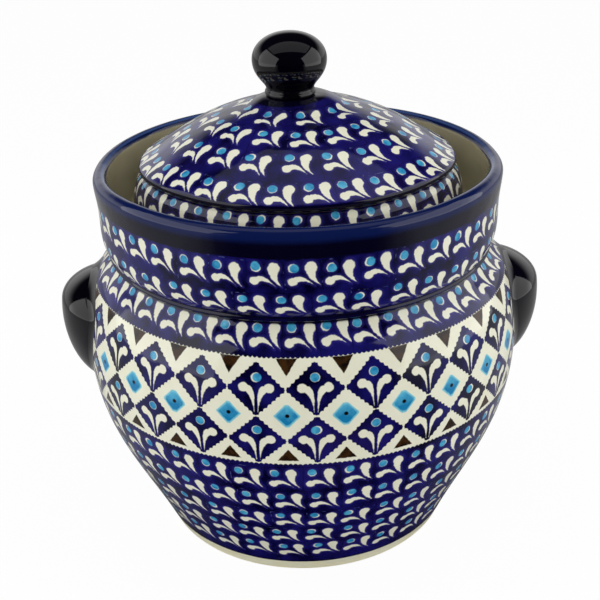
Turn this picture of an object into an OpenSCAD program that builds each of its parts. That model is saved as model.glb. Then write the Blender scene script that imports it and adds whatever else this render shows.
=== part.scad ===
// Water seal pickle jar: a glazed stoneware crock whose lid stands in a ring of water.
// Millimetres, +Z up, the axis of the jar on Z and the foot on the plane z = 0.
// The two lug handles lie on the X axis, so -Y is the front.

/* [Body] */
// Height from the table to the shoulder seat that carries the gutter
shoulder_h = 159.4; // [150:1:190]
// Largest outer radius of the belly
belly_r = 116.5; // [112:0.5:130]
// Height of the belly's widest level
belly_h = 108; // [95:1:118]
// Thickness of the thrown wall
wall = 7; // [5:0.5:9]
// Thickness of the bottom above the foot recess
floor_t = 8; // [5:0.5:12]
// Radius of the round corner between floor and wall inside
floor_fillet = 9; // [4:1:14]

/* [Foot] */
// Outer radius of the foot where it stands
foot_r = 80.3; // [72:0.5:86]
// Height of the unglazed foot band
foot_band_h = 7; // [4:0.5:10]
// How far the band leans outward over its height
foot_flare = 2.5; // [1:0.1:5]
// Width of the ring that stands on the table
foot_ring_w = 9; // [5:0.5:14]
// Depth of the recess under the bottom
foot_recess = 3; // [1.5:0.5:5]

/* [Neck] */
// Inner radius of the mouth
mouth_r = 66; // [60:0.5:70]
// Wall of the neck between mouth and water channel
neck_wall = 6; // [5:0.5:7]
// How far the neck's rim stays below the gutter's rim
neck_drop = 1; // [0:0.5:6]

/* [Water gutter] */
// Height of the gutter from the shoulder seat to its rim
gutter_h = 43.4; // [38:0.5:48]
// Thickness of the gutter's floor
gutter_floor_t = 9; // [6:0.5:11]
// Thickness of the gutter wall and its round lip
gutter_wall = 7.2; // [6:0.2:8]
// How far the gutter wall leans outward from the crease to its rim
gutter_flare = 6.2; // [3:0.1:8]
// Width of water between the skirt of the lid and the gutter wall
channel_gap = 12.2; // [9:0.2:16]
// Radius of the hollow corner along the channel's bottom
channel_fillet = 4; // [2:0.5:5]

/* [Lugs] */
// How far a lug stands out past the belly's widest level
lug_out = 13.4; // [9:0.1:17]
// Drop from the shoulder seat to the top end of the lug's axis
lug_drop = 10.3; // [8:0.1:15]
// Length of the lug along the wall
lug_len = 67; // [56:1:76]
// Largest radius of the lug, measured square to the wall
lug_r = 26.7; // [23:0.1:29]
// Widening of the lug along the wall, 1 being round
lug_widening = 1.3; // [1.1:0.05:1.6]
// Lean of the lug's axis, which follows the wall outward on its way down
lug_lean = 8; // [5:0.5:12]

/* [Lid] */
// Free play between the neck and the skirt's upper end
lid_play = 1.6; // [1.2:0.1:4]
// Thickness of dome and skirt
lid_wall = 6; // [5:0.5:7]
// How far the skirt swells outward below the groove
skirt_swell = 6.4; // [4:0.2:9]
// How far the seam of dome and skirt lies below the neck's rim
seam_drop = 0.8; // [0.5:0.1:4]
// How far the dome's edge overhangs the skirt's upper end
edge_overhang = 2.2; // [1:0.1:4]
// Radius of the dome's rolled edge
edge_roll = 2.4; // [2:0.1:3]
// Height of the dome above its rolled edge
dome_rise = 31.1; // [25:0.1:40]
// Number of vent notches in the skirt's lower edge
vent_count = 3; // [2:1:6]
// Radius of a vent notch
vent_r = 4; // [2:0.5:6]

/* [Knob] */
// Largest radius of the ball knob
knob_r = 18.8; // [15:0.2:24]
// Height of the knob above the dome
knob_h = 34.5; // [28:0.5:42]
// Radius of the knob's neck
knob_neck_r = 11.9; // [8:0.1:13]
// Radius of the bead at the knob's foot
knob_bead_r = 2.4; // [1.5:0.1:3]
// How far the hand-set knob stands off the lid's middle, towards the left lug
knob_off = 2.6; // [0:0.2:4]

/* [Weights] */
// Free play between the pair of half-moon weights and the corner of the floor
weight_play = 4; // [3:0.5:12]
// Thickness of a weight
weight_t = 15; // [10:0.5:20]
// Gap between the two weights
weight_gap = 3; // [1:0.5:6]
// Radius of the finger hole in each weight
finger_hole_r = 9; // [6:0.5:12]

/* [Hidden] */
$fn = 96;
// Steps of each smooth curve and of each small arc in an outline
curve_steps = 14;
arc_steps = 6;
// How far a cutting tool runs past the piece it cuts
over = 1;

inside_floor_h = foot_recess + floor_t;
neck_r = mouth_r + neck_wall;
rim_h = shoulder_h + gutter_h;
neck_h = rim_h - neck_drop;
channel_floor_h = shoulder_h + gutter_floor_t;
// The plane where the skirt meets the dome, and the skirt's two walls there and in the channel
seam_h = neck_h - seam_drop;
seam_in_r = neck_r + lid_play;
seam_out_r = seam_in_r + lid_wall;
skirt_r = seam_out_r + skirt_swell;
skirt_h = seam_h - channel_floor_h;
lid_r = seam_out_r + edge_overhang;
// The gutter stands clear of the skirt all round, and its foot gives the shoulder its radius
channel_wall_r = skirt_r + channel_gap;
gutter_r = channel_wall_r + gutter_wall;
shoulder_r = gutter_r - gutter_flare;
dome_top_h = seam_h + edge_roll + dome_rise;
// Slope of the dome where it runs into the rolled edge
edge_slope = 30;
// The bead at the knob's foot, which stands out a quarter of its radius from the neck
knob_bead_at = knob_neck_r - 0.75 * knob_bead_r;
knob_foot_r = knob_bead_at + knob_bead_r;

navy = [0.07, 0.08, 0.30];
dark_navy = [0.03, 0.03, 0.10];
weight_glaze = [0.86, 0.82, 0.68];

// Points of a cubic curve from a to d, with b and c as its handles
function curve(a, b, c, d, steps = curve_steps) = [
    for (i = [0:steps])
        let (t = i / steps, u = 1 - t)
            u * u * u * a + 3 * u * u * t * b + 3 * u * t * t * c + t * t * t * d
];

// Points of an arc about a centre, from one angle to another
function arc(centre, r, from, to, steps = arc_steps) = [
    for (i = [0:steps])
        let (a = from + (to - from) * i / steps)
            centre + r * [cos(a), sin(a)]
];

// An outline without its first point, to join it to one that ends there
function rest(points) = [for (i = [1:len(points) - 1]) points[i]];

function reversed(points) = [for (i = [len(points) - 1:-1:0]) points[i]];

// The pot's outside from the foot to the shoulder seat
foot_round = 1.5;
foot_top = [foot_r + foot_flare, foot_band_h];
belly_point = [belly_r, belly_h];
shoulder_point = [shoulder_r, shoulder_h];
belly_rise = belly_h - foot_band_h;
shoulder_rise = shoulder_h - belly_h;
// Outward lean of the wall above the foot band and inward lean at the shoulder, per unit of height
lower_lean = 0.42;
upper_lean = 0.45;
body_outside = concat(
    arc([foot_r - foot_round, foot_round], foot_round, -90, 0),
    curve(
        foot_top,
        foot_top + 0.4 * belly_rise * [lower_lean, 1],
        belly_point - [0, 0.39 * belly_rise],
        belly_point
    ),
    rest(curve(
        belly_point,
        belly_point + [0, 0.3 * shoulder_rise],
        shoulder_point + 0.25 * shoulder_rise * [upper_lean, -1],
        shoulder_point
    ))
);

// The pot's inside from the middle of the floor to the mouth, one wall thickness from the outside
lean_angle = atan(lower_lean);
fillet_h = inside_floor_h + floor_fillet;
floor_r = foot_top[0] + (fillet_h - foot_band_h) * lower_lean - (wall + floor_fillet) / cos(lean_angle);
fillet_end = [floor_r, fillet_h] + floor_fillet * [cos(lean_angle), -sin(lean_angle)];
inside_belly = belly_point - [wall, 0];
inside_rise = belly_h - fillet_end[1];
neck_fillet = 4;
ceiling_h = shoulder_h - wall;
body_inside = concat(
    [[0, inside_floor_h]],
    arc([floor_r, fillet_h], floor_fillet, -90, -lean_angle),
    rest(curve(
        fillet_end,
        fillet_end + 0.37 * inside_rise * [lower_lean, 1],
        inside_belly - [0, 0.42 * inside_rise],
        inside_belly
    )),
    rest(curve(
        inside_belly,
        inside_belly + [0, 0.5 * shoulder_rise],
        [shoulder_r - wall / 2, ceiling_h],
        [mouth_r + neck_fillet, ceiling_h]
    )),
    rest(arc([mouth_r + neck_fillet, ceiling_h + neck_fillet], neck_fillet, -90, -180))
);

module jar_body() {
    lip = neck_wall / 2;
    ring_in_r = foot_r - foot_ring_w;
    color(navy)
        rotate_extrude()
            polygon(concat(
                body_outside,
                [[neck_r, shoulder_h]],
                arc([mouth_r + lip, neck_h - lip], lip, 0, 180),
                reversed(body_inside),
                [
                    [0, foot_recess],
                    [ring_in_r - foot_recess / 2, foot_recess],
                    [ring_in_r, 0]
                ]
            ));
}

module gutter_collar() {
    lip = gutter_wall / 2;
    lip_centre = [gutter_r - lip, rim_h - lip];
    color(navy)
        rotate_extrude()
            polygon(concat(
                [[neck_r, shoulder_h]],
                curve(
                    shoulder_point,
                    shoulder_point + [0.32 * gutter_flare, 0.09 * gutter_h],
                    [gutter_r - 0.28 * gutter_flare, shoulder_h + 0.24 * gutter_h],
                    lip_centre + [lip, 0]
                ),
                rest(arc(lip_centre, lip, 0, 180, 2 * arc_steps)),
                arc(
                    [channel_wall_r - channel_fillet, channel_floor_h + channel_fillet],
                    channel_fillet, 0, -90
                ),
                [[neck_r, channel_floor_h]]
            ));
}

// Half the outline of an egg that hangs from the origin, widest in its upper third
lug_widest = 0.3 * lug_len;
lug_outline = concat(
    curve(
        [0, 0],
        [0.36 * lug_r, 0.22 * lug_widest],
        [lug_r, 0.62 * lug_widest],
        [lug_r, lug_widest]
    ),
    rest(curve(
        [lug_r, lug_widest],
        [lug_r, lug_widest + 0.52 * (lug_len - lug_widest)],
        [0.45 * lug_r, lug_len],
        [0, lug_len]
    ))
);
// How far the leaning egg reaches out from its top end
lug_span = max([for (p = lug_outline) p[0] * cos(lug_lean) + p[1] * sin(lug_lean)]);

// The egg leans along the wall, and the pot's own shape is cut from it
module lug() {
    color(dark_navy)
        difference() {
            translate([belly_r + lug_out - lug_span, 0, shoulder_h - lug_drop])
                rotate([0, -lug_lean, 0])
                    scale([1, lug_widening, 1])
                        rotate_extrude()
                            polygon([for (p = lug_outline) [p[0], -p[1]]]);
            rotate_extrude()
                polygon(concat([[0, 0]], body_outside, [[0, shoulder_h]]));
        }
}

module handle_right() {
    lug();
}

module handle_left() {
    mirror([1, 0, 0])
        lug();
}

module lid_dome() {
    roll_centre = [lid_r - edge_roll, seam_h + edge_roll];
    // Where the dome's curve meets the roll
    roll_start = roll_centre + edge_roll * [sin(edge_slope), cos(edge_slope)];
    // The flat that the knob stands on
    flat_r = knob_foot_r + knob_off;
    inner_end = [seam_in_r, seam_h + 1];
    inner_top_h = dome_top_h - lid_wall;
    color(navy)
        rotate_extrude()
            polygon(concat(
                [[0, dome_top_h]],
                curve(
                    [flat_r, dome_top_h],
                    [0.6 * lid_r, dome_top_h - 0.07 * lid_r],
                    roll_start + 0.22 * lid_r * [-1, tan(edge_slope)],
                    roll_start
                ),
                rest(arc(roll_centre, edge_roll, 90 - edge_slope, -90, 2 * arc_steps)),
                [[seam_in_r, seam_h]],
                curve(
                    inner_end,
                    inner_end + 0.24 * lid_r * [-1, tan(edge_slope)],
                    [0.5 * lid_r, inner_top_h - 0.02 * lid_r],
                    [0, inner_top_h]
                )
            ));
}

module lid_skirt() {
    edge_round = 1.6;
    skirt_in_r = skirt_r - lid_wall;
    color(navy)
        difference() {
            rotate_extrude()
                polygon(concat(
                    curve(
                        [seam_out_r, seam_h],
                        [seam_out_r + 0.45 * skirt_swell, seam_h - 0.05 * skirt_h],
                        [skirt_r, seam_h - 0.2 * skirt_h],
                        [skirt_r, seam_h - 0.64 * skirt_h]
                    ),
                    arc([skirt_r - edge_round, channel_floor_h + edge_round], edge_round, 0, -90),
                    arc([skirt_in_r + edge_round, channel_floor_h + edge_round], edge_round, -90, -180),
                    curve(
                        [skirt_in_r, seam_h - 0.7 * skirt_h],
                        [skirt_in_r, seam_h - 0.3 * skirt_h],
                        [seam_in_r, seam_h - 0.3 * skirt_h],
                        [seam_in_r, seam_h]
                    )
                ));
            for (i = [0:vent_count - 1])
                rotate([0, 0, 90 + 360 * i / vent_count])
                    translate([0, 0, channel_floor_h])
                        rotate([0, 90, 0])
                            cylinder(r = vent_r, h = skirt_r + over);
        }
}

module lid_knob() {
    ball_h = 0.39 * knob_h;
    knob_top_h = dome_top_h + knob_h;
    widest_h = knob_top_h - ball_h;
    bead_centre = [knob_bead_at, dome_top_h + 0.83 * knob_bead_r];
    stem_h = bead_centre[1] + knob_bead_r;
    color(dark_navy)
        translate([-knob_off, 0, 0])
            rotate_extrude()
                polygon(concat(
                    [[0, dome_top_h]],
                    arc(bead_centre, knob_bead_r, -56, 40),
                    curve(
                        [knob_neck_r, stem_h],
                        [knob_neck_r, stem_h + 0.15 * knob_h],
                        [knob_r, widest_h - 0.2 * knob_h],
                        [knob_r, widest_h]
                    ),
                    rest(curve(
                        [knob_r, widest_h],
                        [knob_r, widest_h + 0.58 * ball_h],
                        [0.58 * knob_r, knob_top_h],
                        [0, knob_top_h]
                    ))
                ));
}

// Half a disc on the jar's floor, with a finger hole in its middle
module weight() {
    edge_round = 3;
    weight_r = floor_r - weight_play;
    top_h = inside_floor_h + weight_t;
    color(weight_glaze)
        difference() {
            rotate_extrude()
                polygon(concat(
                    [[0, inside_floor_h]],
                    arc([weight_r - edge_round, inside_floor_h + edge_round], edge_round, -90, 0),
                    arc([weight_r - edge_round, top_h - edge_round], edge_round, 0, 90),
                    [[0, top_h]]
                ));
            translate([weight_gap / 2 - 2 * weight_r, -weight_r - over, inside_floor_h - over])
                cube([2 * weight_r, 2 * (weight_r + over), weight_t + 2 * over]);
            translate([weight_r / 2, 0, inside_floor_h - over])
                cylinder(r = finger_hole_r, h = weight_t + 2 * over);
        }
}

module weight_right() {
    weight();
}

module weight_left() {
    mirror([1, 0, 0])
        weight();
}

jar_body();
gutter_collar();
handle_left();
handle_right();
lid_dome();
lid_skirt();
lid_knob();
weight_left();
weight_right();
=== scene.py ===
import math

import bpy
from mathutils import Matrix, Vector


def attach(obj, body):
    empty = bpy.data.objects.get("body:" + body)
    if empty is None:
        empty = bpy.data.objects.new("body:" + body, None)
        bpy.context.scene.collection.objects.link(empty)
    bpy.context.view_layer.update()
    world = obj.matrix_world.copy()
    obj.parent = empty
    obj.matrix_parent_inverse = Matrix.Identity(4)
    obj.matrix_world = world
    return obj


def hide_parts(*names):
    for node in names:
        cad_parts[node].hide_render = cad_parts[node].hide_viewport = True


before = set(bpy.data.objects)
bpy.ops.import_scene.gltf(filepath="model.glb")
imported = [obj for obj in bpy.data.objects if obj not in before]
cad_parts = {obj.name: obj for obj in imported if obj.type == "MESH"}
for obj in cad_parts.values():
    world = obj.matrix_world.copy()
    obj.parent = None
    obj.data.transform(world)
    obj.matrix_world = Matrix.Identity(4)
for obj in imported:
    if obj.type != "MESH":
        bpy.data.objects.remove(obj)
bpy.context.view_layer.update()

MM = 0.001

# Sizes of the jar in millimetres, as in the part's source
SHOULDER_R = 99.2
SHOULDER_H = 159.4
CREASE_H = 162.3
BELLY_R = 116.45
BELLY_H = 108
INSIDE_R = 109.5
INSIDE_FLOOR_H = 11
NECK_R = 72
THROAT_R = 66
CHANNEL_R = 98.2
CHANNEL_FLOOR_H = 168.4
RIM_R = 105.4
SEAM_R = 79.6
SEAM_H = 201
LID_R = 81.8
DOME_TOP_H = 234.5
SKIRT_R = 86
KNOB_R = 18.8
KNOB_WIDEST_H = 255.545
KNOB_TOP_H = 269
KNOB_OFF = 2.6
RIM_RISE = 4
EDGE_RISE = 4
CROWN_RISE = 3
VENT_R = 4
VENT_TURNS = (60, 180, 300)
LUG_TOP = (100.2, 149.1)
LUG_R = 26.5
LUG_LEN = 67
LUG_WIDENING = 1.3
LUG_LEAN = math.radians(8)

# Sizes of the ornament in millimetres
STAMP = 17.6
FOOT_BAND_H = 7.4
DIAMONDS = 26
DIAMOND_H = 13.1
BAND_MIDDLE_H = 118.9


# Outlines, as points of radius and height in millimetres


def curve(start, leave, arrive, end, steps=28):
    """Points along a curve between two ends, with the handles it leaves and arrives by."""
    points = []
    for i in range(steps + 1):
        t = i / steps
        u = 1 - t
        shares = (u * u * u, 3 * u * u * t, 3 * u * t * t, t * t * t)
        points.append(tuple(sum(s * p[k] for s, p in zip(shares, (start, leave, arrive, end))) for k in (0, 1)))
    return points


def arc(centre, radius, first, last, steps=8):
    """Points round a centre, from one angle to another in degrees."""
    points = []
    for i in range(steps + 1):
        a = math.radians(first + (last - first) * i / steps)
        points.append((centre[0] + radius * math.cos(a), centre[1] + radius * math.sin(a)))
    return points


def straight(start, end, steps=8):
    """Points on a straight stretch."""
    return [tuple(start[k] + (end[k] - start[k]) * i / steps for k in (0, 1)) for i in range(steps + 1)]


def joined(*stretches):
    """One outline from stretches that follow on from one another."""
    points = []
    for stretch in stretches:
        for point in stretch:
            if not points or math.dist(points[-1], point) > 0.001:
                points.append(point)
    return points


def lengths(outline):
    """The length along an outline at each of its points."""
    total = [0.0]
    for a, b in zip(outline, outline[1:]):
        total.append(total[-1] + math.dist(a, b))
    return total


def length_at(outline, height, after=0):
    """The length along an outline where it first crosses a height beyond a given length."""
    total = lengths(outline)
    for i in range(len(outline) - 1):
        a, b = outline[i][1], outline[i + 1][1]
        if total[i] >= after and min(a, b) <= height <= max(a, b) and a != b:
            return total[i] + (height - a) / (b - a) * (total[i + 1] - total[i])
    raise ValueError("an outline doesn't reach height %s" % height)


BODY_WALL = joined(
    curve((82.8, 7), (99.8, 47.4), (BELLY_R, 68.6), (BELLY_R, BELLY_H), 44),
    curve((BELLY_R, BELLY_H), (BELLY_R, 120.5), (114.6, 138), (107.6, 148.6), 22),
    curve((107.6, 148.6), (104.4, 153.4), (99.8, 155.8), (SHOULDER_R, SHOULDER_H), 12),
)


def body_radius(height):
    """The radius of the pot's outside at a height."""
    for (r0, h0), (r1, h1) in zip(BODY_WALL, BODY_WALL[1:]):
        if h0 <= height <= h1:
            return r0 + (r1 - r0) * (height - h0) / (h1 - h0)
    return BODY_WALL[0][0] if height < BODY_WALL[0][1] else BODY_WALL[-1][0]


BODY_OUTLINE = joined(
    straight((0, 3), (69.8, 3)),
    straight((69.8, 3), (71.3, 0), 2),
    arc((78.8, 1.5), 1.5, -90, 0),
    BODY_WALL,
    straight((SHOULDER_R - 1, SHOULDER_H + 0.6), (NECK_R, SHOULDER_H + 0.6), 4),
    arc((69, 198.8), 3, 0, 180, 12),
    arc((70, 156.4), 4, 180, 270),
    curve((70, 152.4), (95.7, 152.4), (INSIDE_R, 133.7), (INSIDE_R, BELLY_H)),
    curve((INSIDE_R, BELLY_H), (INSIDE_R, 69.6), (93.4, 50.4), (79.2, 16.5)),
    arc((70.9, 20), 9, -22.8, -90),
    straight((70.9, INSIDE_FLOOR_H), (0, INSIDE_FLOOR_H)),
)
COLLAR_OUTLINE = joined(
    straight((NECK_R, SHOULDER_H), (SHOULDER_R - 0.5, SHOULDER_H), 4),
    curve((SHOULDER_R - 0.5, SHOULDER_H), (101, 159.2), (101.6, 160.8), (100.9, CREASE_H - 0.5), 8),
    curve((100.9, CREASE_H - 0.5), (100.5, CREASE_H - 0.1), (100.6, CREASE_H + 0.2), (101, CREASE_H + 0.6), 4),
    curve((101, CREASE_H + 0.6), (102, 165), (103.4, 168), (103.8, 172), 10),
    curve((103.8, 172), (104.2, 176), (103.7, 184), (104.4, 190), 12),
    curve((104.4, 190), (104.8, 193.5), (RIM_R, 196), (RIM_R, 199.2), 8),
    arc((101.8, 199.2), 3.6, 0, 180, 16),
    straight((CHANNEL_R, 199.2), (CHANNEL_R, 172.4)),
    arc((94.2, 172.4), 4, 0, -90),
    straight((94.2, CHANNEL_FLOOR_H), (NECK_R, CHANNEL_FLOOR_H), 4),
)
DOME_OUTLINE = joined(
    straight((0, DOME_TOP_H), (15.1, DOME_TOP_H), 3),
    curve((15.1, DOME_TOP_H), (49.1, 228.8), (62.6, 215.9), (80.6, 205.5), 40),
    arc((79.4, 203.4), 2.4, 60, -90),
    straight((79.4, SEAM_H), (73.6, SEAM_H), 2),
    curve((73.6, 202), (54, 213.3), (40.9, 226.9), (0, 228.5)),
)
SKIRT_OUTLINE = joined(
    arc((81.6, 170), 1.6, -180, -90),
    arc((84.4, 170), 1.6, -90, 0),
    curve((SKIRT_R, 180.1), (SKIRT_R, 194.5), (82.5, 199.4), (SEAM_R, SEAM_H)),
    straight((SEAM_R, SEAM_H), (73.6, SEAM_H), 2),
    curve((73.6, SEAM_H), (73.6, 191.2), (80, 191.2), (80, 178.2)),
)
KNOB_OUTLINE = joined(
    arc((10.9, 239.2), 2, -60, 45, 10),
    curve((12.1, 241.2), (12.4, 244.6), (KNOB_R, 247.4), (KNOB_R, KNOB_WIDEST_H)),
    curve((KNOB_R, KNOB_WIDEST_H), (KNOB_R, 263.3), (10.9, KNOB_TOP_H), (0, KNOB_TOP_H)),
)
KNOB_OUTLINE = joined(straight((0, DOME_TOP_H), KNOB_OUTLINE[0], 2), KNOB_OUTLINE)


# Pieces


def as_is(radius, height, turn):
    """A turned piece's own shape."""
    return radius, height


def turned(name, outline, finish, shape=as_is, columns=288, ring=False):
    """A piece turned round the jar's axis. Its map Unrolled holds the turn and the length along the outline."""
    rows = outline + outline[:1] if ring else outline
    total = lengths(rows)
    area = sum(a[0] * b[1] - b[0] * a[1] for a, b in zip(rows, rows[1:]))
    area += 0 if ring else rows[-1][0] * rows[0][1] - rows[0][0] * rows[-1][1]
    vertices = []
    firsts = []
    for radius, height in outline:
        firsts.append(len(vertices))
        on_axis = radius < 0.001
        for j in range(1 if on_axis else columns):
            turn = (j / columns - 0.5) * 2 * math.pi
            r, h = shape(radius, height, turn)
            vertices.append((r * MM * math.sin(turn), -r * MM * math.cos(turn), h * MM))
    firsts = firsts + firsts[:1] if ring else firsts
    faces = []
    corners = []
    for i in range(len(rows) - 1):
        for j in range(columns):
            near = [(i, j), (i, j + 1), (i + 1, j + 1), (i + 1, j)]
            if rows[i][0] < 0.001:
                near.pop(1)
            if rows[i + 1][0] < 0.001:
                near.pop(-1)
            if area < 0:
                near.reverse()
            face = [firsts[a] + (0 if rows[a][0] < 0.001 else b % columns) for a, b in near]
            faces.append(face)
            corners.extend((b / columns, total[a] * MM) for a, b in near)
    return solid(name, vertices, faces, finish, corners)


def solid(name, vertices, faces, finish, corners=None):
    """A smooth mesh piece at the origin with its finish."""
    mesh = bpy.data.meshes.new(name)
    mesh.from_pydata(vertices, [], faces)
    if corners:
        unrolled = mesh.uv_layers.new(name="Unrolled")
        for loop, place in zip(unrolled.data, corners):
            loop.uv = place
    mesh.shade_smooth()
    mesh.set_sharp_from_angle(angle=math.radians(40))
    mesh.materials.append(finish)
    piece = bpy.data.objects.new(name, mesh)
    bpy.context.scene.collection.objects.link(piece)
    return piece


def eased(share):
    """A share between 0 and 1 with soft ends."""
    t = min(max(share, 0), 1)
    return t * t * (3 - 2 * t)


def towards_front(turn):
    """1 over the front of the jar and 0 over its sides and back."""
    return eased((math.cos(turn) + 0.1) / 0.85)


def high_fronted(radius, height, turn):
    """The collar's shape: the hand-thrown rim stands higher over the front."""
    return radius, height + RIM_RISE * towards_front(turn) * eased((height - 187) / 11)


def domed(radius, height, turn):
    """The dome's shape: its edge stands higher over the front, like the rim, and its crown swells to the knob."""
    crown = CROWN_RISE * eased((30 - radius) / 16) * (height > 233)
    return radius, height + crown + EDGE_RISE * towards_front(turn) * min(max((radius - 18) / 60, 0), 1)


def vented(radius, height, turn):
    """The skirt's shape: its top follows the dome's edge, and three notches in its lower edge let gas out."""
    height = height + EDGE_RISE * towards_front(turn) * eased((height - 182) / 16)
    low, high = 168.4, 180.1
    for vent in VENT_TURNS:
        off = (math.degrees(turn) - vent + 180) % 360 - 180
        across = math.radians(off) * 84
        if abs(across) < VENT_R and height < high:
            notch = math.sqrt(VENT_R * VENT_R - across * across)
            return radius, height + notch * (high - height) / (high - low)
    return radius, height


# Finishes


def paint(red, green, blue):
    """A colour as it is given, in the renderer's own numbers."""
    shares = [c / 255 for c in (red, green, blue)]
    return tuple(c / 12.92 if c <= 0.04045 else ((c + 0.055) / 1.055) ** 2.4 for c in shares) + (1,)


class Value:
    """A number or colour that changes over a surface. Arithmetic on it adds Math nodes."""

    def __init__(self, finish, socket):
        self.finish = finish
        self.socket = socket

    def math(self, operation, *others, clamp=False):
        settings = {"operation": operation, "use_clamp": clamp}
        return self.finish.node("ShaderNodeMath", settings, (self, *others))

    def __add__(self, other):
        return self.math("ADD", other)

    def __sub__(self, other):
        return self.math("SUBTRACT", other)

    def __rsub__(self, other):
        return self.math("MULTIPLY", -1).math("ADD", other)

    def __mul__(self, other):
        return self.math("MULTIPLY", other)

    def __truediv__(self, other):
        return self.math("DIVIDE", other)

    def __pow__(self, other):
        return self.math("POWER", other)

    def __abs__(self):
        return self.math("ABSOLUTE")

    def __gt__(self, other):
        return self.math("GREATER_THAN", other)

    def __lt__(self, other):
        return self.math("LESS_THAN", other)

    __radd__ = __add__
    __rmul__ = __mul__


class Nodes:
    """A tree of shader nodes."""

    def __init__(self, tree):
        self.tree = tree

    def node(self, kind, settings=None, inputs=(), output=0):
        """Adds a node: its settings come first, then the values or links of its sockets."""
        made = self.tree.nodes.new(kind)
        for name, setting in (settings or {}).items():
            setattr(made, name, setting)
        pairs = inputs.items() if isinstance(inputs, dict) else enumerate(inputs)
        for key, value in pairs:
            if isinstance(value, Value):
                self.tree.links.new(value.socket, made.inputs[key])
            else:
                made.inputs[key].default_value = value
        return Value(self, made.outputs[output])

    def mix(self, share, low, high):
        """A colour between two."""
        return self.node("ShaderNodeMix", {"data_type": "RGBA"}, {0: share, 6: low, 7: high}, 2)

    def part(self, vector, axis):
        """One number of a vector."""
        return self.node("ShaderNodeSeparateXYZ", inputs=(vector,), output=axis)

    def ramp(self, value, low, high):
        """A soft step from 0 to 1 between two values."""
        inputs = {"Value": value, "From Min": low, "From Max": high}
        return self.node("ShaderNodeMapRange", {"interpolation_type": "SMOOTHSTEP"}, inputs)


class Finish(Nodes):
    """A glaze made of nodes, on the Principled shader."""

    def __init__(self, name, roughness):
        self.material = bpy.data.materials.new(name)
        self.material.use_nodes = True
        super().__init__(self.material.node_tree)
        self.shader = self.tree.nodes["Principled BSDF"]
        self.shader.inputs["Roughness"].default_value = roughness
        self.shader.inputs["Specular IOR Level"].default_value = 0.5

    def place(self):
        """The point on the piece, in metres."""
        return self.node("ShaderNodeTexCoord", output="Object")

    def noise(self, scale, detail=2, output=0):
        """A soft random field with blotches about 1 / scale metres across."""
        return self.node(
            "ShaderNodeTexNoise", inputs={"Vector": self.place(), "Scale": scale, "Detail": detail}, output=output
        )

    def feed(self, name, value):
        """Links a value to one of the shader's sockets."""
        self.tree.links.new(value.socket, self.shader.inputs[name])

    def relief(self, height, depth):
        """Bumps the surface by a height field."""
        inputs = {"Strength": 1, "Distance": depth, "Height": height}
        self.feed("Normal", self.node("ShaderNodeBump", inputs=inputs))


def clamped(value):
    """A value held between 0 and 1."""
    return value.math("ADD", 0, clamp=True)


def most(a, b):
    return a.math("MAXIMUM", b)


def least(a, b):
    return a.math("MINIMUM", b)


def within(depth, soft):
    """1 inside a shape and 0 outside it, from how deep inside it a point lies."""
    return (depth / soft).math("ADD", 0.5, clamp=True)


def disc(x, y, centre, radius):
    """How deep inside a disc a point lies."""
    dx = x - centre[0]
    dy = y - centre[1]
    return radius - (dx * dx + dy * dy).math("SQRT")


def comma(x, y, head, tail, radius, bow, lean, taper):
    """How deep inside a comma a point lies. Its round head narrows to the tail along a line bowed to its left."""
    length = math.dist(head, tail)
    ux, uy = (tail[0] - head[0]) / length, (tail[1] - head[1]) / length
    along = (x * ux + y * uy - (head[0] * ux + head[1] * uy)) / length
    across = y * ux - x * uy - (head[1] * ux - head[0] * uy)
    t = clamped(along)
    middle = (t ** lean * math.pi).math("SINE") * bow
    half = (1 - t) ** taper * radius
    body = half - abs(across - middle) - abs(along - t) * length * 3
    return most(body, disc(x, y, head, radius))


def sprig(x, y):
    """The stamp of the rows: how deep a point lies inside its two commas. The dot is at the origin."""
    upright = comma(x, y, (0.46, -0.02), (0.70, -0.64), 0.172, -0.09, 1, 1.15)
    lying = comma(x, y, (-0.05, -0.42), (0.53, -0.62), 0.142, 0.14, 0.75, 1.25)
    return most(upright, lying)


def palmette(x, y):
    """The stamp of the dark diamonds: how deep a point lies inside its pair of commas."""
    return comma(abs(x), y, (0.44, 0.06), (0.06, -0.86), 0.172, -0.17, 0.6, 1.55)


NAVY = paint(23, 20, 98)
NAVY_DEEP = paint(3, 2, 36)
NAVY_VIOLET = paint(44, 34, 116)
NAVY_HALO = paint(52, 46, 134)
NAVY_BLACK = paint(5, 4, 26)
COBALT = paint(12, 25, 74)
# Thin cobalt on the lip's edge, partly a painted highlight.
COBALT_THIN_AND_HIGHLIGHT = paint(70, 96, 150)
CREAM = paint(240, 241, 224)
CREAM_WARM = paint(232, 229, 202)
TURQUOISE = paint(84, 178, 212)
TURQUOISE_DEEP = paint(24, 124, 176)
TURQUOISE_THIN = paint(126, 202, 218)
BROWN = paint(64, 40, 18)
BLACK = paint(14, 10, 10)
INSIDE_GLAZE = paint(200, 192, 160)
INSIDE_GLAZE_DEEP = paint(172, 162, 126)
BARE_CLAY = paint(244, 236, 194)


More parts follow.
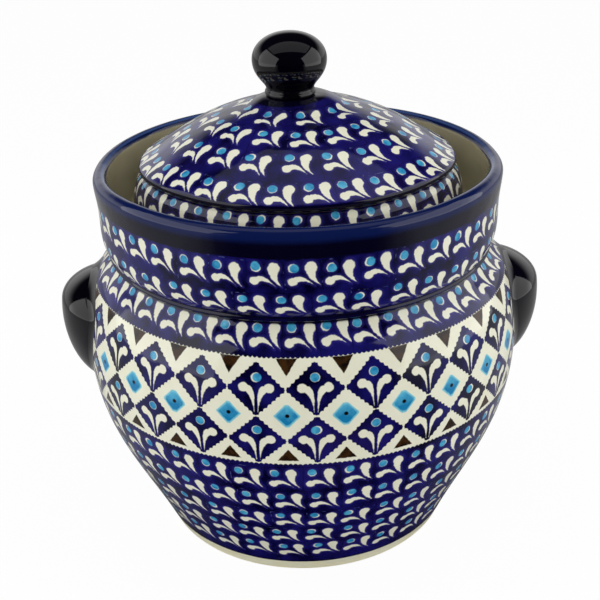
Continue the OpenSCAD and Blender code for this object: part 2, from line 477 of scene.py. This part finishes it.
class Ornament(Finish):
    """The patterned glaze of one turned piece, laid out by turn and by length along its outline."""

    def __init__(self, name, upwards):
        super().__init__(name, 0.07)
        unrolled = self.node("ShaderNodeUVMap", {"uv_map": "Unrolled"})
        self.turn = self.part(unrolled, 0)
        self.length = self.part(unrolled, 1) / MM
        self.rise = self.length * upwards
        place = self.place()
        self.x, y = self.part(place, 0) / MM, self.part(place, 1) / MM
        self.radius = (self.x * self.x + y * y).math("SQRT")
        self.height = self.part(place, 2) / MM
        blots = self.noise(700, 1)
        self.wobble = (blots - 0.5) * 0.05
        tone = self.noise(70, 4)
        patch = self.noise(16, 2)
        ground = self.mix(clamped((tone - 0.36) * 3.4), NAVY_DEEP, NAVY)
        ground = self.mix(clamped((patch - 0.5) * 4) * 0.5, ground, NAVY_VIOLET)
        self.colour = ground
        self.cream = self.mix(self.noise(90, 3), CREAM_WARM, CREAM)
        self.stroke = clamped((self.noise(260, 2) - 0.3) * 2.5)
        self.turquoise = self.mix(self.stroke, TURQUOISE_DEEP, TURQUOISE)

    def lay(self, share, colour):
        """Paints a colour over what is there."""
        self.colour = self.mix(share, self.colour, colour)

    def chance(self, a, b, seed):
        """Three random numbers for a numbered place."""
        spot = self.node("ShaderNodeCombineXYZ", inputs=(a, b, seed))
        return self.node("ShaderNodeTexWhiteNoise", inputs={"Vector": spot}, output="Color")

    def stamp_rows(self, rows, size=1):
        """Rows of stamps from the lowest: length at the dots, number, one dot's turn, tallness, thinness."""
        place, count, first, tall, thin = rows[0]
        for low, high in zip(rows, rows[1:]):
            above = self.rise > low[0] + 0.25 * STAMP * size
            place = above * (high[0] - low[0]) + place
            count = above * (high[1] - low[1]) + count
            first = above * (high[2] - low[2]) + first
            tall = above * (high[3] - low[3]) + tall
            thin = above * (high[4] - low[4]) + thin
        around = (self.turn - 0.5 - first / 360) * count
        number = (around + 0.27).math("FLOOR")
        dice = self.chance(number.math("MODULO", count), count, 3)
        x = (around - number) * self.radius / count * (2 * math.pi / STAMP / size)
        y = (self.rise - place) / (tall * (STAMP * size))
        x = x + (self.part(dice, 0) - 0.5) * 0.06
        y = y + (self.part(dice, 1) - 0.5) * 0.07
        skew = (self.part(dice, 2) - 0.5) * 0.18
        x, y = x - y * skew, y + x * skew
        edge_x = within(0.012 - abs(x + 0.245), 0.012)
        edge_y = within(0.01 - abs(y - 0.215), 0.01)
        self.lay(most(edge_x, edge_y) * 0.5, NAVY_BLACK)
        # Painted highlight: pale blue glints along the edge lines of some stamps.
        edge_glints = clamped((self.noise(420, 2) - 0.56) * 9) * (self.part(dice, 1) > 0.6)
        self.lay(most(edge_x, edge_y) * edge_glints * 0.4, paint(110, 120, 190))
        marks = most(sprig(x, y), disc(x, y, (0, 0), 0.14)) + self.wobble - thin
        self.lay(within(marks + 0.05, 0.1) * 0.6, NAVY_HALO)
        self.lay(within(marks, 0.025), self.cream)
        slip_x = x + (self.part(dice, 2) - 0.5) * 0.08
        slip_y = y + (self.part(dice, 0) - 0.5) * 0.06
        self.lay(within(disc(slip_x, slip_y, (0, 0), 0.137 - thin) + self.wobble * 0.5, 0.025), self.turquoise)

    def diamond_band(self, middle, first):
        """The cream band with its net of dark diamonds, round a length along the outline."""
        a = (self.turn - 0.5 - first / 360) * DIAMONDS + 0.5
        column = a.math("FLOOR")
        x = (a - column - 0.5) * 2
        b = (self.rise - middle) / DIAMOND_H
        upper = b > 0
        row = upper * 2 - 1
        y = b - row
        dice = self.chance(column.math("MODULO", DIAMONDS), row, 7)
        x = x + (self.part(dice, 0) - 0.5) * 0.03
        y = y + (self.part(dice, 1) - 0.5) * 0.04
        beside = abs(x) - abs(y)
        scallop = abs((beside * 11).math("SINE")) * 0.07
        dark = 1.06 - abs(x) - abs(y) - scallop + self.wobble
        edge = abs((a * 12 * math.pi).math("SINE")) * 0.05
        band = 2.12 - abs(b - 0.05) - edge + self.wobble
        inside = within(band, 0.03)
        ground = self.colour
        self.lay(inside * (1 - within(dark, 0.03)), self.cream)
        slip = (self.part(dice, 2) - 0.5) * 0.1
        marks = most(palmette(x + slip * 0.3, y), disc(x, y, (0, 0.44), 0.165)) + self.wobble
        self.lay(inside * within(marks, 0.03), self.cream)
        self.lay(inside * within(disc(x + slip, y, (0, 0.44), 0.155), 0.03), self.turquoise)
        other = (a + 0.5).math("FLOOR")
        u = (a - other) * 2
        chance = self.chance(other.math("MODULO", DIAMONDS), 5, 1)
        u = u + (self.part(chance, 0) - 0.5) * 0.10
        v = b + (self.part(chance, 1) - 0.5) * 0.10
        size = 0.47 + (self.part(chance, 2) - 0.5) * 0.06
        square = least(size - abs(u) - abs(v) * 0.9, disc(u, v, (0, 0), 0.44)) + self.wobble * 0.4
        self.lay(inside * within(square, 0.03), TURQUOISE_THIN)
        pool = self.mix(clamped(self.stroke * 0.6 + v * 1.8 - 0.05), TURQUOISE_DEEP, TURQUOISE)
        self.lay(inside * within(square - 0.075 + self.wobble * 0.8, 0.06), pool)
        self.lay(inside * within(disc(u, v, (0.01, 0.01), 0.075), 0.03), BLACK)
        upper_side = (b - 1.5) * 0.6 - abs(u)
        hanging = least(upper_side, 2.13 - b)
        lower_side = (-1.36 - b) * 0.7 - abs(u)
        standing = least(lower_side, b + 1.88)
        wedge = most(hanging, standing) + self.wobble
        brown = self.mix(self.stroke, BLACK, BROWN)
        self.lay(inside * within(wedge, 0.03), brown)

    def line_inside(self, share):
        """The plain cream glaze on the inside."""
        inner = self.mix(self.noise(30, 3), INSIDE_GLAZE_DEEP, INSIDE_GLAZE)
        self.lay(share, inner)

    def done(self):
        """Finishes the glaze with its colour and its slightly rippled skin."""
        self.feed("Base Color", self.colour)
        self.relief(self.noise(38, 1) + self.noise(120, 1) * 0.2, 0.0007)
        return self.material


def body_glaze():
    """The pot: rows of stamps, the diamond band, a dark band at the top of the shoulder, a bare foot and a cream
    inside.
    """
    outer = BODY_OUTLINE
    start = length_at(outer, 7) - 0.01

    def at(height):
        return length_at(outer, height, start)

    glaze = Ornament("stamped_body_glaze", 1)
    glaze.stamp_rows([
        (at(23.5), 32, 0.1, 1, 0.023),
        (at(38.1), 34, -1.4, 1, 0.023),
        (at(53.6), 37, -0.9, 1, 0.023),
        (at(69.7), 41, -0.7, 1, 0.023),
        (at(86.2), 41, -1.6, 1, 0.023),
        (at(156.6), 41, -5.8, 0.97, 0.017),
    ])
    glaze.diamond_band(at(BAND_MIDDLE_H), -0.1)
    glaze.lay(within(glaze.height - 158.3, 0.8), NAVY_BLACK)
    ragged = (glaze.noise(60, 2) - 0.5) * 1.2
    foot = within(FOOT_BAND_H - glaze.height + ragged, 0.3)
    rim_of_colour = within(FOOT_BAND_H + 0.9 - glaze.height + ragged, 0.7)
    glaze.lay(rim_of_colour * 0.8, NAVY_DEEP)
    glaze.lay(foot, glaze.mix(glaze.noise(120, 3), BARE_CLAY, CREAM))
    inside_from = length_at(outer, 190, at(158))
    glaze.line_inside(within(glaze.length - inside_from, 1))
    rest = within(1.2 - glaze.height, 0.4)
    glaze.lay(rest * 0.8, BARE_CLAY)
    glaze.feed("Roughness", rest * 0.6 + 0.07)
    return glaze.done()


def collar_glaze():
    """The gutter's collar: two rows of stamps, painted shade along the crease, a plain dark band, a cobalt lip
    with a lighter line that is partly a painted highlight, and a cream inside.
    """
    start = length_at(COLLAR_OUTLINE, 160) - 0.01

    def at(height):
        return length_at(COLLAR_OUTLINE, height, start)

    glaze = Ornament("stamped_collar_glaze", 1)
    glaze.stamp_rows([(at(172.6), 36, -7.9, 0.84, 0.02), (at(188.4), 38, -4.7, 0.86, 0.018)])
    ragged = (glaze.noise(80, 2) - 0.5) * 0.8
    # Painted shade: a dark line along the crease, and darker glaze on the collar's foot below it.
    crease_shade = 1 - abs(glaze.rise - at(CREASE_H)) / 1.1
    glaze.lay(clamped(crease_shade), NAVY_BLACK)
    glaze.lay(within(at(CREASE_H) - glaze.rise, 0.8) * 0.7, NAVY_BLACK)
    glaze.lay(within(glaze.rise - at(191.6) + ragged, 0.5), NAVY_BLACK)
    glaze.lay(within(glaze.rise - at(197.2) + ragged, 2.5), COBALT)
    top = length_at(COLLAR_OUTLINE, 202.7, at(199))
    # A lighter line along the top of the lip: partly the glaze running thin on the edge, partly a painted
    # highlight.
    glaze.lay(within(0.8 - abs(glaze.rise - top - 2.4) + ragged * 0.5, 0.8) * 0.6, COBALT_THIN_AND_HIGHLIGHT)
    inside_from = length_at(COLLAR_OUTLINE, 200.4, top + 1)
    glaze.line_inside(within(glaze.length - inside_from + ragged, 0.8))
    return glaze.done()


def dome_glaze():
    """The lid's dome: four rows of stamps, plain dark glaze round the knob and at the edge."""
    glaze = Ornament("stamped_dome_glaze", -1)
    total = lengths(DOME_OUTLINE)

    def at(radius):
        for i, (r, h) in enumerate(DOME_OUTLINE):
            if r >= radius:
                return -total[i]

    glaze.stamp_rows([
        (at(72.2), 28, 0.5, 1, 0.005),
        (at(56.3), 20, -6.8, 1, 0.005),
        (at(40), 16, -3.9, 1, 0.01),
        (at(23.8), 9, 3.1, 1, 0.02),
    ], 0.94)
    off = glaze.x + KNOB_OFF
    from_knob = (glaze.radius * glaze.radius + off * off - glaze.x * glaze.x).math("SQRT")
    glaze.lay(within(18.5 - from_knob + glaze.wobble * 20, 1.2), NAVY_BLACK)
    glaze.lay(within(glaze.length - length_at(DOME_OUTLINE, 204.8), 0.6), NAVY_DEEP)
    inside_from = length_at(DOME_OUTLINE, 201.6, length_at(DOME_OUTLINE, 202.5) + 1)
    glaze.line_inside(within(glaze.length - inside_from, 1))
    return glaze.done()


def skirt_glaze():
    """The lid's skirt: one row of stamps outside, cream inside."""
    glaze = Ornament("stamped_skirt_glaze", 1)

    def at(height):
        return length_at(SKIRT_OUTLINE, height, 4)

    glaze.lay(0.75, NAVY_BLACK)
    glaze.stamp_rows([(at(181.4), 31, 4, 1, 0.02), (at(199), 31, -2.9, 1, 0.032)])
    inside_from = length_at(SKIRT_OUTLINE, SEAM_H)
    glaze.line_inside(within(glaze.length - inside_from, 1))
    glaze.line_inside(within(83.2 - glaze.radius, 0.5) * within(172 - glaze.height, 1))
    return glaze.done()


def dark_glaze():
    """The near-black cobalt of the knob and the lugs."""
    glaze = Finish("dark_cobalt_glaze", 0.06)
    thin = clamped((glaze.noise(40, 4) - 0.45) * 3)
    glaze.feed("Base Color", glaze.mix(thin * 0.5, paint(3, 2, 8), paint(6, 5, 26)))
    glaze.relief(glaze.noise(50, 1), 0.0005)
    return glaze.material


def cream_glaze():
    """The weights' cream glaze, with a soft ripple and a few warm specks."""
    glaze = Finish("cream_weight_glaze", 0.12)
    colour = glaze.mix(glaze.noise(40, 3), CREAM_WARM, CREAM)
    specks = clamped((glaze.noise(900, 1) - 0.72) * 12)
    glaze.feed("Base Color", glaze.mix(specks * 0.6, colour, paint(150, 118, 74)))
    glaze.relief(glaze.noise(60, 2), 0.0006)
    return glaze.material


# The lugs


def lug_radius(down):
    """The lug's radius at a length down its axis."""
    for (r0, s0), (r1, s1) in zip(LUG_OUTLINE, LUG_OUTLINE[1:]):
        if s0 <= down <= s1:
            return r0 + (r1 - r0) * (down - s0) / max(s1 - s0, 1e-9)
    return -1.0


LUG_WIDEST = 20.1
LUG_OUTLINE = joined(
    curve((0, 0), (9.6, 4.4), (LUG_R, 12.5), (LUG_R, LUG_WIDEST)),
    curve((LUG_R, LUG_WIDEST), (LUG_R, 44.5), (12, LUG_LEN), (0, LUG_LEN), 40),
)


def lug_depth(x, y, z):
    """How deep a point in millimetres lies inside the right lug's full egg."""
    dx, dz = x - LUG_TOP[0], z - LUG_TOP[1]
    down = dx * math.sin(LUG_LEAN) - dz * math.cos(LUG_LEAN)
    out = dx * math.cos(LUG_LEAN) + dz * math.sin(LUG_LEAN)
    return lug_radius(down) - math.hypot(out, y / LUG_WIDENING)


def lug_vertices(columns):
    """The right lug's egg, with the part in the pot's wall drawn out to just under the wall's skin."""
    vertices = []
    for radius, down in LUG_OUTLINE:
        for j in range(1 if radius < 0.001 else columns):
            a = 2 * math.pi * j / columns
            out, y = radius * math.cos(a), radius * LUG_WIDENING * math.sin(a)
            x = LUG_TOP[0] + down * math.sin(LUG_LEAN) + out * math.cos(LUG_LEAN)
            z = LUG_TOP[1] - down * math.cos(LUG_LEAN) + out * math.sin(LUG_LEAN)
            skin = body_radius(z) - 1.5
            reach = math.hypot(x, y)
            if reach < skin:
                x, y = x * skin / reach, y * skin / reach
            vertices.append((x, y, z))
    return vertices


def lug_foot():
    """The closed line where the right lug meets the pot, as angle round the pot and height."""
    middle = (0.0, 118.0)
    line = []
    for j in range(120):
        a = 2 * math.pi * j / 120
        near, far = 0.0, 60.0
        for _ in range(30):
            reach = (near + far) / 2
            z = middle[1] + reach * math.sin(a)
            turn = reach * math.cos(a) / 113
            r = body_radius(z)
            if lug_depth(r * math.cos(turn), r * math.sin(turn), z) > 0:
                near = reach
            else:
                far = reach
        line.append((turn, z))
    return line


def pot_point(turn, z):
    r = body_radius(z)
    return Vector((r * math.cos(turn), r * math.sin(turn), z))


def pot_normal(turn, z):
    slope = (body_radius(z + 0.5) - body_radius(z - 0.5))
    return Vector((math.cos(turn), math.sin(turn), -slope)).normalized()


def lug_normal(point):
    """The direction out of the lug at a point near its skin."""
    step = 0.2
    x, y, z = point
    across = lug_depth(x + step, y, z) - lug_depth(x - step, y, z)
    aside = lug_depth(x, y + step, z) - lug_depth(x, y - step, z)
    up = lug_depth(x, y, z + step) - lug_depth(x, y, z - step)
    return Vector((-across, -aside, -up)).normalized()


def lug_faces(columns):
    """Faces of the lug's egg."""
    count = len(LUG_OUTLINE)
    first = [0] + [1 + (i - 1) * columns for i in range(1, count)]
    faces = []
    for i in range(count - 1):
        for j in range(columns):
            near = [(i, j), (i + 1, j), (i + 1, j + 1), (i, j + 1)]
            if i == 0:
                near.pop()
            if i == count - 2:
                near.pop(2)
            faces.append([first[a] + (0 if a in (0, count - 1) else b % columns) for a, b in near])
    return faces


def lug(name, side, finish):
    """One lug with the rounded joint along its foot. The left lug is the right one turned half round."""
    columns = 96
    vertices = [Vector(v) for v in lug_vertices(columns)]
    faces = lug_faces(columns)
    foot = lug_foot()
    start = len(vertices)
    steps = 10
    for j, (turn, z) in enumerate(foot):
        upward = math.sin(2 * math.pi * j / len(foot))
        fillet = 4.5 + (3.5 if upward > 0 else -1.5) * upward * upward
        corner = pot_point(turn, z)
        before = pot_point(*foot[j - 1])
        after = pot_point(*foot[(j + 1) % len(foot)])
        run = (after - before).normalized()
        wall, skin = pot_normal(turn, z), lug_normal(corner)
        away = run.cross(wall).normalized()
        up = skin.cross(run).normalized()
        if away.dot(skin) < 0:
            away = -away
        if up.dot(wall) < 0:
            up = -up
        low = corner + away * fillet
        low = pot_point(math.atan2(low.y, low.x), low.z) - wall * 0.12
        high = corner + up * fillet
        for _ in range(3):
            high = high + lug_normal(high) * (lug_depth(*high) - 0.12)
        for k in range(steps + 1):
            t = k / steps
            vertices.append(low * (1 - t) ** 2 + corner * 2 * t * (1 - t) + high * t * t)
        vertices.append(corner - (wall + skin) * 0.6)
    across = steps + 2
    for j in range(len(foot)):
        here, there = start + j * across, start + (j + 1) % len(foot) * across
        for k in range(across):
            m = (k + 1) % across
            faces.append([here + k, there + k, there + m, here + m])
    placed = [(v.x * side * MM, v.y * side * MM, v.z * MM) for v in vertices]
    return solid(name, placed, faces, finish)


# The studio


def lamp(name, place, aim, size, power, colour=(1, 1, 1)):
    """A soft box at a place in metres that looks at a point."""
    light = bpy.data.lights.new(name, "AREA")
    light.shape = "RECTANGLE"
    light.size, light.size_y = size
    light.energy = power
    light.color = colour
    box = bpy.data.objects.new(name, light)
    box.location = place
    box.rotation_euler = (Vector(aim) - Vector(place)).to_track_quat("-Z", "Y").to_euler()
    bpy.context.scene.collection.objects.link(box)


def camera():
    """The camera where the photograph was taken from."""
    distance, height = 0.5510, 0.3951
    pitch, roll, yaw, turn = (math.radians(a) for a in (26.44, -1.62, -0.07, -2.9))
    forward = Vector((math.sin(yaw) * math.cos(pitch), math.cos(yaw) * math.cos(pitch), -math.sin(pitch)))
    right = Vector((math.cos(yaw), -math.sin(yaw), 0))
    up = right.cross(forward)
    tilted_right = right * math.cos(roll) + up * math.sin(roll)
    tilted_up = up * math.cos(roll) - right * math.sin(roll)
    axes = Matrix((tilted_right, tilted_up, -forward)).transposed().to_4x4()
    lens = bpy.data.cameras.new("camera")
    lens.sensor_width = 36
    lens.lens = 66.94
    eye = bpy.data.objects.new("camera", lens)
    swing = Matrix.Rotation(turn, 4, "Z")
    eye.matrix_world = swing @ Matrix.Translation((0, -distance, height)) @ axes
    bpy.context.scene.collection.objects.link(eye)
    bpy.context.scene.camera = eye


def floor():
    """A plain white floor that keeps the jar's shadow. Reflections see it dark in front of the jar."""
    mesh = bpy.data.meshes.new("floor")
    reach = 6
    corners = [(-reach, -reach, 0), (reach, -reach, 0), (reach, reach, 0), (-reach, reach, 0)]
    mesh.from_pydata(corners, [], [(0, 1, 2, 3)])
    ground_finish = Finish("white_floor", 0.9)
    ground_finish.shader.inputs["Base Color"].default_value = (0.9, 0.9, 0.9, 1)
    ground_finish.shader.inputs["Specular IOR Level"].default_value = 0
    seen = ground_finish.node("ShaderNodeLightPath", output="Is Camera Ray")
    reflected = ground_finish.node("ShaderNodeLightPath", output="Is Glossy Ray")
    place = ground_finish.place()
    depth = ground_finish.part(place, 1) + abs(ground_finish.part(place, 0)) * 1.3
    lit = ground_finish.ramp(depth, -0.05, 0.35) * 0.38
    glow = ground_finish.node("ShaderNodeEmission", inputs={"Strength": seen + reflected * lit})
    blend = ground_finish.node("ShaderNodeMixShader", inputs={0: seen * 0.96 + reflected})
    tree = ground_finish.tree
    tree.links.new(ground_finish.shader.outputs[0], blend.socket.node.inputs[1])
    tree.links.new(glow.socket, blend.socket.node.inputs[2])
    tree.links.new(blend.socket, tree.nodes["Material Output"].inputs[0])
    mesh.materials.append(ground_finish.material)
    ground = bpy.data.objects.new("floor", mesh)
    bpy.context.scene.collection.objects.link(ground)


def sky():
    """White to the camera. Reflections see a white backdrop behind the jar and a dark room in front."""
    world = bpy.data.worlds.new("studio")
    world.use_nodes = True
    nodes = Nodes(world.node_tree)
    seen = nodes.node("ShaderNodeLightPath", output="Is Camera Ray")
    reflected = nodes.node("ShaderNodeLightPath", output="Is Glossy Ray")
    direction = nodes.node("ShaderNodeTexCoord", output="Generated")
    behind = nodes.ramp(nodes.part(direction, 1), 0, 0.5)
    backdrop = behind * nodes.ramp(nodes.part(direction, 2), 0.5, 0.2) * 0.75 + 0.01
    fill = clamped(nodes.part(direction, 2)) * 0.58 + 0.2
    strength = seen * (1 - fill) + reflected * (backdrop - fill) + fill
    nodes.tree.nodes["Background"].inputs["Color"].default_value = (1, 1, 1, 1)
    nodes.tree.links.new(strength.socket, nodes.tree.nodes["Background"].inputs["Strength"])
    bpy.context.scene.world = world


camera()
sky()
floor()
for name, side in (("left_softbox", -1), ("right_softbox", 1)):
    lamp(name, (side * 0.78, -0.3, 0.45), (0, -0.3, 0.2), (1.15, 0.9), 4.1)
lamp("top_softbox", (0, 0, 1.2), (0, 0.001, 0), (1.7, 0.8), 1.8)

dark = dark_glaze()
jar = {
    "stoneware_body": (turned("stoneware_body", BODY_OUTLINE, body_glaze()), "jar_body", "patterned_glaze"),
    "collar": (turned("collar", COLLAR_OUTLINE, collar_glaze(), shape=high_fronted, ring=True), "gutter_collar", "patterned_glaze"),
    "right_lug": (lug("right_lug", 1, dark), "handle_right", "dark_glaze"),
    "left_lug": (lug("left_lug", -1, dark), "handle_left", "dark_glaze"),
}
lid = {
    "dome": (turned("dome", DOME_OUTLINE, dome_glaze(), shape=domed), "lid_dome", "patterned_glaze"),
    "skirt": (
        turned("skirt", SKIRT_OUTLINE, skirt_glaze(), shape=vented, columns=576, ring=True),
        "lid_skirt",
        "patterned_glaze",
    ),
    "knob": (turned("knob", KNOB_OUTLINE, dark, columns=128), "lid_knob", "dark_glaze"),
}
lid["knob"][0].data.transform(Matrix.Translation((-KNOB_OFF * MM, 0, 0)))
for body, pieces in (("jar", jar), ("lid", lid)):
    for piece, node, slot in pieces.values():
        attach(piece, body)
        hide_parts(node)

cream = cream_glaze()
for node in ("weight_left", "weight_right"):
    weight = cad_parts[node]
    weight.data.materials.clear()
    weight.data.materials.append(cream)

bpy.context.scene.view_settings.view_transform = "Standard"
